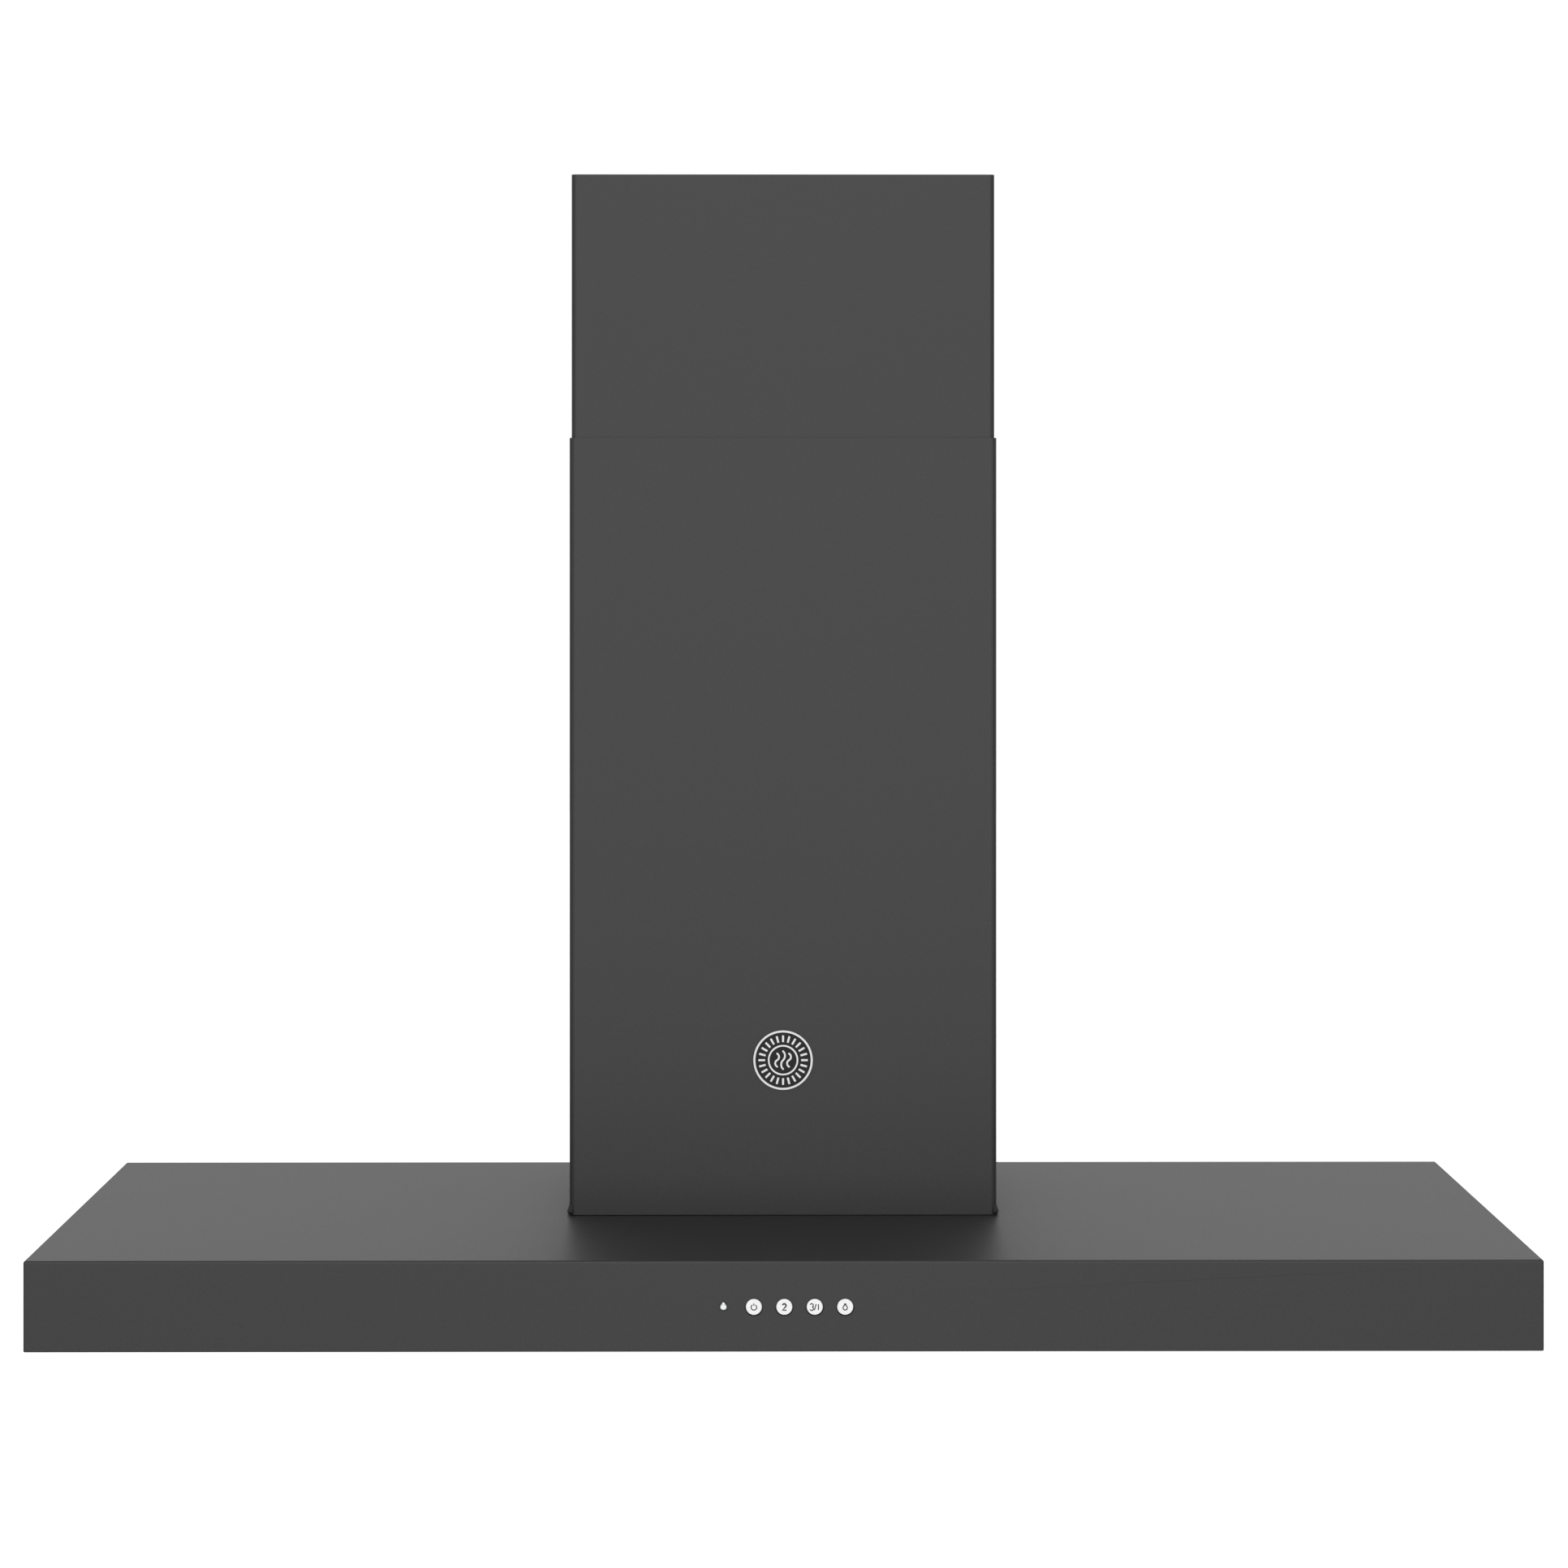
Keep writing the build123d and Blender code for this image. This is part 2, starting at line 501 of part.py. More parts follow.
def scroll_half(side):
    """Left (-1) or right (1) half of the scroll, with its inlet ring and outlet flange."""
    wide = SCROLL_HALF_WIDTH + SCROLL_WALL
    x0, x1 = (-wide, 0.0) if side < 0 else (0.0, wide)
    inner_x0, inner_x1 = (-SCROLL_HALF_WIDTH, 1.0) if side < 0 else (-1.0, SCROLL_HALF_WIDTH)
    half = scroll_prism(SCROLL_WALL, x0, x1) - scroll_prism(0, inner_x0, inner_x1)
    top = BOX_TOP_Z - BOX_SHEET
    throat = scroll_prism(0, inner_x0, inner_x1).bounding_box()
    half -= block(inner_x0, inner_x1, throat.min.Y, WHEEL_Y - 43.0, top - 60, top + 1)
    flange = block(x0 - 6 * (side < 0), x1 + 6 * (side > 0), throat.min.Y - 8, WHEEL_Y - 33.0, top - 2, top)
    half += flange - block(inner_x0, inner_x1, throat.min.Y, WHEEL_Y - 43.0, top - 3, top + 1)
    lip_x0, lip_x1 = (-wide - 4, -wide + 1) if side < 0 else (wide - 1, wide + 4)
    half += rod_x(INLET_RADIUS + 3, lip_x0, lip_x1, WHEEL_Y, WHEEL_Z)
    bore_x0, bore_x1 = (-wide - 10, -5) if side < 0 else (5, wide + 10)
    return half - rod_x(INLET_RADIUS, bore_x0, bore_x1, WHEEL_Y, WHEEL_Z)


def impeller():
    """Double-inlet wheel: a centre web and hub, forward-curved blades and an end ring on each side."""
    face_plane = Plane(origin=(-WHEEL_HALF_WIDTH, WHEEL_Y, WHEEL_Z), x_dir=(0, 1, 0), z_dir=(1, 0, 0))
    chord = (WHEEL_INNER_RADIUS + WHEEL_RADIUS) / 2
    arc_radius, blade = 11.0, Sketch()
    bow = Circle(arc_radius + 0.6) - Circle(arc_radius - 0.6)
    bow &= Pos(0, 20) * Rectangle(60, 40)
    ring = Circle(WHEEL_RADIUS) - Circle(WHEEL_INNER_RADIUS)
    for k in range(BLADE_COUNT):
        blade += Rot(0, 0, 360 / BLADE_COUNT * k) * Pos(chord, -3) * bow
    blades = extrude(face_plane * (blade & ring), amount=2 * WHEEL_HALF_WIDTH)
    ring_left = extrude(face_plane * ring, amount=2)
    wheel = blades + ring_left + Pos(2 * WHEEL_HALF_WIDTH - 2, 0, 0) * ring_left
    wheel += rod_x(WHEEL_RADIUS, -1, 1, WHEEL_Y, WHEEL_Z) + rod_x(11, -1, 26, WHEEL_Y, WHEEL_Z)
    return wheel - rod_x(SHAFT_RADIUS, -5, 30, WHEEL_Y, WHEEL_Z)


def motor_body():
    """Motor inside the wheel's left inlet, with a rear boss for its bracket and a bearing bore."""
    can = rod_x(42, -56, -14, WHEEL_Y, WHEEL_Z)
    can = fillet(can.edges().filter_by(GeomType.CIRCLE), 3)
    ends = rod_x(30, -60, -10, WHEEL_Y, WHEEL_Z) + rod_x(18, -71, -60, WHEEL_Y, WHEEL_Z)
    body = can + ends
    for k in range(12):
        body -= Pos(0, WHEEL_Y, WHEEL_Z) * Rot(30 * k, 0, 0) * Pos(-35, 0, 42) * Box(30, 4, 4)
    return body - rod_x(SHAFT_RADIUS + 0.05, -14, -9, WHEEL_Y, WHEEL_Z)


def motor_bracket():
    """Three-armed spider that holds the motor in the left inlet."""
    x0, x1 = -75.0, -73.0
    spider = rod_x(30, x0, x1, WHEEL_Y, WHEEL_Z)
    for k in range(3):
        arm = Pos((x0 + x1) / 2, 0, 53) * Box(2, 16, 64)
        foot = Pos(-72, 0, 80) * Box(6, 16, 10)
        spider += Pos(0, WHEEL_Y, WHEEL_Z) * Rot(120 * k + 60, 0, 0) * (arm + foot)
    spider += rod_x(18, x0, -71, WHEEL_Y, WHEEL_Z)
    return spider


def capacitor():
    """Run capacitor strapped inside the right wall of the blower box."""
    x, y, z0, z1 = 148.0, -60.0, 120.0, 180.0
    can = rod_z(17, z0, z1, x, y)
    can = fillet(can.edges(), 2)
    return can + rod_z(2, z1, z1 + 10, x - 6, y) + rod_z(2, z1, z1 + 10, x + 6, y)


def junction_box():
    """Mains box on top of the blower box, open on its right side."""
    wall = 1.5
    x0, x1, y0, y1 = MAINS_BOX_X0, MAINS_BOX_X1, MAINS_BOX_Y0, MAINS_BOX_Y1
    z0, z1 = BOX_TOP_Z, MAINS_BOX_TOP
    box = block(x0, x1, y0, y1, z0, z1)
    box -= block(x0 + wall, x1 + 1, y0 + wall, y1 - wall, z0 + wall, z1 - wall)
    box -= rod_z(8, z1 - 10, z1 + 10, GLAND_X, GLAND_Y)
    return box - rod_z(WIRE_HOLE_RADIUS, z0 - 1, z0 + 5, WIRE_HOLE_X, WIRE_HOLE_Y)


def junction_box_lid():
    """Snap-on side cover of the mains box, with two clips that reach inside."""
    x, y0, y1, z0, z1 = MAINS_BOX_X1, MAINS_BOX_Y0, MAINS_BOX_Y1, BOX_TOP_Z, MAINS_BOX_TOP
    lid = block(x, x + 1.5, y0, y1, z0, z1)
    lid += block(x - 4, x, y0 + 1.7, y0 + 3, z0 + 4, z1 - 4)
    return lid + block(x - 4, x, y1 - 3, y1 - 1.7, z0 + 4, z1 - 4)


def cable_gland():
    """Gland that the supply cable enters, with its lock nut inside the mains box."""
    x, y, z0 = GLAND_X, GLAND_Y, MAINS_BOX_TOP
    hexagon = RegularPolygon(11, 6)
    body = extrude(Pos(x, y, z0) * hexagon, amount=6) + rod_z(7.9, z0 - 8, z0 + 6, x, y)
    dome = rod_z(9.5, z0 + 6, z0 + 20, x, y)
    dome = fillet(dome.edges().sort_by(Axis.Z)[-1], 3)
    nut = extrude(Pos(x, y, z0 - 6) * hexagon, amount=4.5)
    return body + dome + nut - rod_z(GLAND_BORE, z0 - 20, z0 + 30, x, y)


# --- Duct collar and damper --------------------------------------------------------------------
def outlet_collar():
    """Spigot for a round duct, with a seat for the two damper flaps."""
    z0 = BOX_TOP_Z
    tube = rod_z(COLLAR_RADIUS, z0, z0 + COLLAR_HEIGHT, 0, COLLAR_Y)
    flange = rod_z(COLLAR_SCREW_RADIUS + 5, z0, z0 + COLLAR_FLANGE, 0, COLLAR_Y)
    collar = tube + flange - rod_z(COLLAR_INNER, z0 - 1, z0 + COLLAR_HEIGHT + 10, 0, COLLAR_Y)
    seat = rod_z(COLLAR_INNER + 0.2, SEAT_Z + 1.8, SEAT_Z + 3, 0, COLLAR_Y)
    seat -= rod_z(70, SEAT_Z, SEAT_Z + 5, 0, COLLAR_Y)
    collar += seat
    collar -= rod_x(SPINDLE_RADIUS, -90, 90, COLLAR_Y, SPINDLE_Z)
    for sx, sy in collar_screw_places():
        collar -= rod_z(SCREW_CLEARANCE_RADIUS, z0 - 1, z0 + 3, sx, sy)
    return collar


def damper_spindle():
    """Rod that both flaps swing on."""
    return rod_x(SPINDLE_RADIUS, -74.6, 74.6, COLLAR_Y, SPINDLE_Z)


def damper_flap(side):
    """Front (-1) or rear (1) half disc, hung from the spindle by two knuckles."""
    z0 = SPINDLE_Z - 3.2
    disc = rod_z(72.6, z0, z0 + 1.5, 0, COLLAR_Y)
    keep = block(-80, 80, COLLAR_Y + 3.7, COLLAR_Y + 90, z0 - 1, z0 + 3)
    flap = disc & (keep if side > 0 else keep.mirror(Plane.XZ.offset(-COLLAR_Y)))
    for knuckle in (-50, 20) if side < 0 else (-20, 50):
        strap_y = sorted((COLLAR_Y, COLLAR_Y + side * 6))
        flap += block(knuckle - 8, knuckle + 8, *strap_y, z0, z0 + 1.5)
        flap += rod_x(3.2, knuckle - 8, knuckle + 8, COLLAR_Y, SPINDLE_Z)
        flap -= rod_x(SPINDLE_RADIUS + 0.06, knuckle - 9, knuckle + 9, COLLAR_Y, SPINDLE_Z)
    return flap


# --- Chimney -----------------------------------------------------------------------------------
def chimney_cover(half, front_y, rear_y, radius, sheet, z0, z1):
    """Three-sided cover, open at the wall apart from two narrow folded edges."""
    inner, gap = half - sheet, half - CHIMNEY_RETURN
    bottom, top = z0 - 1, z1 + 1
    cover = plan(-half, half, front_y, rear_y, radius, z0, z1)
    cover -= plan(-inner, inner, front_y + sheet, rear_y - sheet, radius - sheet, bottom, top)
    return cover - block(-gap, gap, rear_y - 5, rear_y + 1, bottom, top)


def chimney_lower():
    """Outer cover, standing on the canopy."""
    half = CHIMNEY_WIDTH / 2
    z0, z1 = CANOPY_HEIGHT + 0.6, LOWER_CHIMNEY_TOP
    cover = chimney_cover(half, -CHIMNEY_DEPTH, 0, CHIMNEY_CORNER_RADIUS, LOWER_SHEET, z0, z1)
    for x in (-BADGE_PIN_X, BADGE_PIN_X):
        cover -= rod_y(1.6, -CHIMNEY_DEPTH - 1, -CHIMNEY_DEPTH + 3, x, BADGE_Z)
    return cover - rod_x(SCREW_CLEARANCE_RADIUS, -half - 1, half + 1, COVER_SCREW_Y, COVER_SCREW_Z)


def chimney_foot_seal():
    """Right-hand rubber edge strip at the foot of the lower cover, turned round its front corner."""
    half, r = CHIMNEY_WIDTH / 2, CHIMNEY_CORNER_RADIUS
    z0 = CANOPY_HEIGHT + 0.1
    upright = Plane(origin=(half - r, -CHIMNEY_DEPTH + r, z0), x_dir=(1, 0, 0), z_dir=(0, -1, 0))
    outline = make_face(Polyline((r, 0), (r + 2.2, 2.7), (r, 8.0), close=True).edges())
    section = upright * outline
    straight = extrude(section, amount=CHIMNEY_DEPTH - r - 3, dir=(0, 1, 0))
    corner = revolve(section, Axis((half - r, -CHIMNEY_DEPTH + r, 0), (0, 0, 1)), -70)
    return straight + corner


def chimney_upper():
    """Inner cover that telescopes inside the lower one, with a hem turned in round its top."""
    half = UPPER_HALF
    front_y = -CHIMNEY_DEPTH + LOWER_SHEET + SLIDE_GAP
    rear_y = -LOWER_SHEET - 0.5
    radius = CHIMNEY_CORNER_RADIUS - 0.5
    z1 = HOOD_HEIGHT
    cover = chimney_cover(half, front_y, rear_y, radius, UPPER_SHEET, z1 - UPPER_CHIMNEY_LENGTH, z1)
    hem = plan(-half, half, front_y, rear_y, radius, z1 - UPPER_SHEET, z1)
    hem -= block(-half + 7, half - 7, front_y + 7, rear_y + 1, z1 - 3, z1 + 1)
    cover += hem
    return cover - rod_x(SCREW_CLEARANCE_RADIUS, -half - 1, half + 1, BRACKET_SCREW_Y, BRACKET_Z)


def ceiling_bracket():
    """Strap screwed to the wall, with an ear inside each side of the upper cover."""
    half = UPPER_HALF - UPPER_SHEET
    z0, z1 = BRACKET_Z - 13, BRACKET_Z + 13
    strap = block(-156, 156, -2, 0, z0, z1)
    for step in mirrored(block(154, 156, -6, 0, z0, z1) + block(154, half, -6, -4, z0, z1)):
        strap += step
    for ear in mirrored(block(half - 2, half, -40, -4, z0, z1)):
        strap += ear
    strap -= rod_x(SCREW_RADIUS, -half - 1, half + 1, BRACKET_SCREW_Y, BRACKET_Z)
    for x in (-BRACKET_HOLE_X, BRACKET_HOLE_X):
        strap -= rod_y(WALL_HOLE_RADIUS, -5, 1, x, BRACKET_Z)
    return strap


def wall_hook(x):
    """Plate screwed to the wall, with a hook that goes through a slot in the blower box."""
    plate = block(x - 30, x + 30, -2.4, 0, 335, 392)
    plate = fillet(plate.edges().filter_by(Axis.Y), 3)
    tongue = block(x - 18, x + 18, -8.0, -2.0, 349.0, 351.6)
    lip = block(x - 18, x + 18, -8.0, -5.6, 349.0, 362)
    return plate + tongue + lip - rod_y(WALL_HOLE_RADIUS, -4, 1, x, HOOK_Z)


def badge():
    """Plain round badge: raised rim, a wreath of radial bars, an inner ring and three lines of steam."""
    y = -CHIMNEY_DEPTH
    line_width, bow = 1.5, 1.6
    face_y = y - BADGE_THICKNESS
    plaque = rod_y(BADGE_RADIUS, face_y - BADGE_RELIEF, y, 0, BADGE_Z)
    plaque -= rod_y(BADGE_RADIUS - BADGE_RIM, y - 3, face_y, 0, BADGE_Z)
    ring = rod_y(BADGE_RING_RADIUS, face_y - BADGE_RELIEF, face_y, 0, BADGE_Z)
    plaque += ring - rod_y(BADGE_RING_RADIUS - BADGE_RING_WIDTH, y - 3, face_y + 1, 0, BADGE_Z)
    face_plane = Plane(origin=(0, face_y, BADGE_Z), x_dir=(1, 0, 0), z_dir=(0, -1, 0))
    for place in PolarLocations(BADGE_BAR_RADIUS, BADGE_BAR_COUNT):
        bar = place * Rectangle(BADGE_BAR_LENGTH, BADGE_BAR_WIDTH)
        plaque += extrude(face_plane * bar, amount=BADGE_RELIEF)
    for x, half_length in ((-5.0, 5.5), (0.0, 7.5), (5.0, 5.5)):
        quarter = half_length / 2
        lower = ThreePointArc((x, -half_length), (x - bow, -quarter), (x, 0))
        upper = ThreePointArc((x, 0), (x + bow, quarter), (x, half_length))
        line = SlotArc(lower, line_width) + SlotArc(upper, line_width)
        plaque += extrude(face_plane * line, amount=BADGE_RELIEF)
    for x in (-BADGE_PIN_X, BADGE_PIN_X):
        plaque += rod_y(1.5, y - 0.5, y + 4, x, BADGE_Z)
    return plaque


# --- Cables and fasteners ----------------------------------------------------------------------
def control_cable():
    """Flat route from the control board, under the canopy's top and up to the mains box."""
    points = [
        (40, -475, 35.6),
        (40, -445, 37),
        (44, -412, 62),
        (70, -370, 66),
        (118, -320, 66),
        (139, -252, 67),
        (146, -208, 92),
        (146, -190, 140),
        (145, -160, 200),
        (142, -125, 262),
        (136, -92, 322),
        (124, -68, 366),
        (120, -60, 400),
    ]
    return cable(points, [18, 26, 60, 60, 60, 36, 60, 150, 150, 150, 120], 2.5)


def lamp_cable():
    """Loop that lies on the panel from the driver round the right-hand filter and along the lamps."""
    z = PANEL_TOP + 2.6
    points = [(458, -45, z + 7), (474, -45, z + 7), (504, -47, z + 1), (534, -66, z), (545, -108, z)]
    points += [(545, -340, z), (536, -388, z), (500, -407, z), (440, -407.5, z), (-452, -407, z)]
    main = cable(points, [30, 30, 30, 40, 60, 30, 30, 200], 2.2)
    for x in LAMP_XS:
        main += rod_y(1.6, LAMP_Y + 26, -408, x, z + 1.5)
    return main


def screws(name, places, made, direction):
    """One node of identical screws; direction turns a screw whose head is up."""
    write(name, *[Pos(*place) * direction * made for place in places])


# --- Write every node --------------------------------------------------------------------------
def main():
    os.makedirs("parts", exist_ok=True)
    write("canopy_shell", canopy_shell())
    write("underside_panel", underside_panel())
    write("side_stiffeners", *mirrored(side_stiffener()))
    for k, x in enumerate(LAMP_XS, 1):
        write(f"lamp_bezel_{k}", lamp_bezel(x))
        write(f"lamp_lens_{k}", lamp_lens(x))
    write("lamp_housings", *[lamp_housing(x) for x in LAMP_XS])
    write("led_driver", led_driver())

    write("control_bracket", control_bracket())
    write("control_board", *control_board())
    write("indicator_bezel", indicator_bezel())
    write("indicator_led", indicator_led())
    for name, x in zip(("power", "speed_2", "speed_3", "light"), BUTTON_XS):
        write(f"button_{name}", button(x))

    for name, cx in zip(("left", "centre", "right"), FILTER_XS):
        write(f"filter_frame_{name}", filter_frame(cx))
        write(f"filter_baffles_{name}", filter_baffles(cx))
        write(f"latch_slider_{name}", latch_slider(cx))
        write(f"latch_springs_{name}", *latch_spring(cx))

    write("blower_box", blower_box())
    write("scroll_left", scroll_half(-1))
    write("scroll_right", scroll_half(1))
    write("impeller", impeller())
    write("motor_shaft", rod_x(SHAFT_RADIUS, -13.5, 30, WHEEL_Y, WHEEL_Z))
    write("motor_body", motor_body())
    write("motor_bracket", motor_bracket())
    write("capacitor", capacitor())
    write("junction_box", junction_box())
    write("junction_box_lid", junction_box_lid())
    write("cable_gland", cable_gland())
    write("outlet_collar", outlet_collar())
    write("damper_spindle", damper_spindle())
    write("damper_flap_front", damper_flap(-1))
    write("damper_flap_rear", damper_flap(1))

    write("chimney_lower", chimney_lower())
    write("chimney_foot_seals", *mirrored(chimney_foot_seal()))
    write("chimney_upper", chimney_upper())
    write("ceiling_bracket", ceiling_bracket())
    write("wall_hooks", wall_hook(-HOOK_X), wall_hook(HOOK_X))
    write("badge", badge())

    write("control_cable", control_cable())
    write("lamp_cable", lamp_cable())
    panel_places = [(sx, sy, PANEL_Z) for sx, sy in panel_screw_places()]
    screws("panel_screws", panel_places, pan_screw(SCREW_RADIUS, 6, 3.6, 1.8), Rot(180, 0, 0))
    box_screw = pan_screw(SCREW_RADIUS, 5, 3.4, 1.8)
    places = [(sx, sy, BOX_TOP_Z + COLLAR_FLANGE) for sx, sy in collar_screw_places()]
    places += [(sx, sy, CANOPY_HEIGHT + BOX_SHEET) for sx, sy in flange_screw_places()]
    screws("blower_screws", places, box_screw, Rot(0, 0, 0))
    side_screw = pan_screw(SCREW_RADIUS, 6, 3.8, 2.0)
    for name, half, y, z in (
        ("chimney_screws", CHIMNEY_WIDTH / 2, COVER_SCREW_Y, COVER_SCREW_Z),
        ("ceiling_bracket_screws", UPPER_HALF, BRACKET_SCREW_Y, BRACKET_Z),
    ):
        right = Pos(half, y, z) * Rot(0, 90, 0) * side_screw
        write(name, *mirrored(right))


main()
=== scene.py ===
"""Looks for the wall-mounted range hood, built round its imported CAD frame.

Metres, +Z up, the wall is Y = 0 and the front faces -Y. Every place comes from the frame.
"""

import math

import bmesh
import bpy
from mathutils import Matrix, Vector


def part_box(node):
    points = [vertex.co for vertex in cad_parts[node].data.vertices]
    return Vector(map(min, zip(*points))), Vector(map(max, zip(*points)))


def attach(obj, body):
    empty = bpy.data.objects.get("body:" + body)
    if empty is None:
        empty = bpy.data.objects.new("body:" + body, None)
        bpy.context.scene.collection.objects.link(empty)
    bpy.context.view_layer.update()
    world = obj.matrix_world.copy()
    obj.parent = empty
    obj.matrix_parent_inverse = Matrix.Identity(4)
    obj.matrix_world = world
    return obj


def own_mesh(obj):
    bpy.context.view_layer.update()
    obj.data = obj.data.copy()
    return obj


MM = 0.001
THIN_STROKE = 0.42  # half width of a symbol's line, mm
BOLD_STROKE = 0.62  # half width of a figure's line, mm
LEGEND_RELIEF = 0.2  # how far its round section is flattened
FILTERS = ("left", "centre", "right")
BUTTONS = ("power", "speed_2", "speed_3", "light")
LAMPS = (1, 2, 3, 4)
GUIDE_RADIUS = 2.4  # the indicator's light guide, mm
GUIDE_KNOB = 1.15
GUIDE_DEPTH = 0.35  # its depth as a share of its radius
GUIDE_HEIGHT = 0.78  # its body's half height as a share of its radius
GUIDE_TURNS = 40  # points round it
GAP_SHADE_START = 0.9 * MM  # where the painted shade on a button's side starts, behind its face; the black there stands in for the shade in the gap round the cap


# --- Node helpers --------------------------------------------------------------------------------
class Shader:
    """A material with one Principled shader and short ways to wire patterns into it."""

    def __init__(self, name, **sockets):
        self.material = bpy.data.materials.new(name)
        self.material.use_nodes = True
        self.nodes = self.material.node_tree.nodes
        self.links = self.material.node_tree.links
        self.principled = self.nodes["Principled BSDF"]
        for socket, value in sockets.items():
            self.principled.inputs[socket.replace("_", " ")].default_value = value
        coordinates = self.nodes.new("ShaderNodeTexCoord")
        self.position = coordinates.outputs["Object"]

    def stretched(self, scale):
        """Object coordinates scaled by three factors, for grain that runs one way."""
        mapping = self.nodes.new("ShaderNodeMapping")
        mapping.inputs["Scale"].default_value = scale
        self.links.new(self.position, mapping.inputs["Vector"])
        return mapping.outputs["Vector"]

    def noise(self, scale, detail=2.0, vector=None, roughness=0.5):
        """A noise pattern; scale is cells per metre."""
        node = self.nodes.new("ShaderNodeTexNoise")
        node.inputs["Scale"].default_value = scale
        node.inputs["Detail"].default_value = detail
        node.inputs["Roughness"].default_value = roughness
        self.links.new(vector or self.position, node.inputs["Vector"])
        return node.outputs["Fac"]

    def spread(self, value, low, high, start=0.3, end=0.7):
        """Maps a pattern to a range."""
        node = self.nodes.new("ShaderNodeMapRange")
        node.inputs["From Min"].default_value = start
        node.inputs["From Max"].default_value = end
        node.inputs["To Min"].default_value = low
        node.inputs["To Max"].default_value = high
        self.links.new(value, node.inputs["Value"])
        return node.outputs["Result"]

    def ramp(self, value, low_colour, high_colour, start=0.3, end=0.7):
        """Colours a pattern between two colours."""
        node = self.nodes.new("ShaderNodeValToRGB")
        node.color_ramp.elements[0].position = start
        node.color_ramp.elements[0].color = (*low_colour, 1)
        node.color_ramp.elements[1].position = end
        node.color_ramp.elements[1].color = (*high_colour, 1)
        self.links.new(value, node.inputs["Fac"])
        return node.outputs["Color"]

    def mix(self, share, first, second):
        """Goes from the first colour to the second as share goes from 0 to 1."""
        node = self.nodes.new("ShaderNodeMixRGB")
        self.links.new(share, node.inputs["Fac"])
        self.links.new(first, node.inputs["Color1"])
        self.links.new(second, node.inputs["Color2"])
        return node.outputs["Color"]

    def bump(self, height, strength, distance, under=None):
        """Adds relief from a pattern; distance is its depth in metres."""
        node = self.nodes.new("ShaderNodeBump")
        node.inputs["Strength"].default_value = strength
        node.inputs["Distance"].default_value = distance
        self.links.new(height, node.inputs["Height"])
        if under is not None:
            self.links.new(under, node.inputs["Normal"])
        return node.outputs["Normal"]

    def feed(self, socket, output):
        """Drives one socket of the Principled shader."""
        self.links.new(output, self.principled.inputs[socket])


def grey(level, tint=0.0):
    """A grey, with a little blue for a positive tint."""
    return (level * (1 - tint), level, level * (1 + tint))


# --- Materials -----------------------------------------------------------------------------------
def satin_black_paint():
    """Satin black powder coat: fine orange peel and a faint mottle."""
    coat = Shader("satin_black_paint", IOR=1.5)
    mottle = coat.noise(420, 3)
    peel = coat.noise(1500, 2)
    coat.feed("Base Color", coat.ramp(mottle, grey(0.023), grey(0.029)))
    coat.feed("Roughness", coat.spread(mottle, 0.44, 0.48))
    coat.feed("Normal", coat.bump(peel, 0.25, 0.00006))
    return coat.material


def brushed_steel(name, scale, level=0.42, rough=(0.27, 0.38)):
    """Stainless steel with a brushed grain; scale stretches the grain along its run."""
    steel = Shader(name, Metallic=1.0)
    strokes = steel.noise(1.0, 5, steel.stretched(scale), 0.65)
    cloud = steel.noise(5, 3)
    steel.feed("Base Color", steel.ramp(strokes, grey(level * 0.66), grey(level * 1.08), 0.36, 0.66))
    steel.feed("Roughness", steel.spread(strokes, *rough))
    steel.feed("Normal", steel.bump(strokes, 0.2, 0.0001, steel.bump(cloud, 0.15, 0.004)))
    return steel.material


def galvanised_sheet():
    """Zinc-coated sheet with a soft spangle."""
    zinc = Shader("galvanised_sheet", Metallic=1.0)
    spangle = zinc.nodes.new("ShaderNodeTexVoronoi")
    spangle.inputs["Scale"].default_value = 190
    zinc.links.new(zinc.position, spangle.inputs["Vector"])
    cells = zinc.nodes.new("ShaderNodeSeparateColor")
    zinc.links.new(spangle.outputs["Color"], cells.inputs["Color"])
    tone = zinc.ramp(cells.outputs["Red"], grey(0.31, 0.015), grey(0.39, 0.015), 0.0, 1.0)
    zinc.feed("Base Color", tone)
    zinc.feed("Roughness", zinc.spread(cells.outputs["Green"], 0.36, 0.46, 0.0, 1.0))
    zinc.feed("Normal", zinc.bump(zinc.noise(60, 3), 0.1, 0.0004))
    return zinc.material


def cast_aluminium():
    """Die-cast aluminium with a fine sandy skin."""
    metal = Shader("cast_aluminium", Metallic=1.0)
    grit = metal.noise(900, 4)
    metal.feed("Base Color", metal.ramp(grit, grey(0.5), grey(0.62)))
    metal.feed("Roughness", metal.spread(grit, 0.42, 0.56))
    metal.feed("Normal", metal.bump(grit, 0.3, 0.0001))
    return metal.material


def spring_wire():
    """Bright drawn wire."""
    wire = Shader("spring_wire", Metallic=1.0)
    drawn = wire.noise(700, 2)
    wire.feed("Base Color", wire.ramp(drawn, grey(0.42), grey(0.6)))
    wire.feed("Roughness", wire.spread(drawn, 0.2, 0.34))
    return wire.material


def moulded_plastic(name, level, rough=0.5):
    """Moulded plastic with a spark-eroded texture."""
    plastic = Shader(name)
    erosion = plastic.noise(1300, 3)
    plastic.feed("Base Color", plastic.ramp(erosion, grey(level * 0.9), grey(level * 1.1)))
    plastic.feed("Roughness", plastic.spread(erosion, rough - 0.05, rough + 0.06))
    plastic.feed("Normal", plastic.bump(erosion, 0.35, 0.00008))
    return plastic.material


